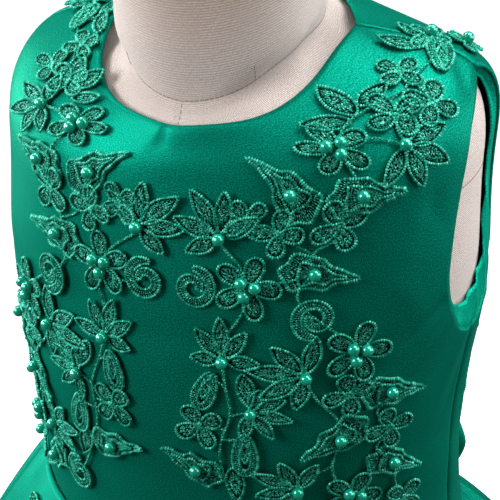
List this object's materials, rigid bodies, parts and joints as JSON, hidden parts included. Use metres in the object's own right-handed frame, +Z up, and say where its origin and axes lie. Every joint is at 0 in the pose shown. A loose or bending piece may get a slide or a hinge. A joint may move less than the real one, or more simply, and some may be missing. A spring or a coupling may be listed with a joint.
{
  "type": "junior bridesmaid dress on a dress form",
  "caption": "Sleeveless satin dress with corded floral lace over the bodice and a bow at the back waist, on a limbless child's dress form with a pole and round base.",
  "frame": {"origin": "middle of the underside of the stand's round base, on the floor under the pole", "axes": "+Z up, the front of the dress faces -Y, the dress's own left side is towards +X"},
  "size_m": [0.7358, 0.663, 1.1483],
  "materials": {
    "satin": "green duchess satin with a soft broad sheen",
    "lace": "green corded lace of thick twisted thread",
    "pearl": "glossy green pearl beads",
    "jersey": "pinkish beige fine knit jersey",
    "wood": "pale lacquered wood",
    "stand_metal": "light grey painted steel"
  },
  "bodies": {
    "root": {"bodice_front": "satin", "bodice_back_left": "satin", "bodice_back_right": "satin", "armhole_facing_left": "satin", "armhole_facing_right": "satin", "skirt_front": "satin", "skirt_back_left": "satin", "skirt_back_right": "satin", "lace_left": "lace", "lace_right": "lace", "lace_back_left": "lace", "lace_back_right": "lace", "lace_skirt_left": "lace", "lace_skirt_right": "lace", "bow_loop_left": "satin", "bow_loop_right": "satin", "bow_knot": "satin", "bow_tail_left": "satin", "bow_tail_right": "satin", "form_torso": "jersey", "form_neck_cap": "wood", "form_pole": "stand_metal", "form_base": "stand_metal"}
  },
  "joints": []
}
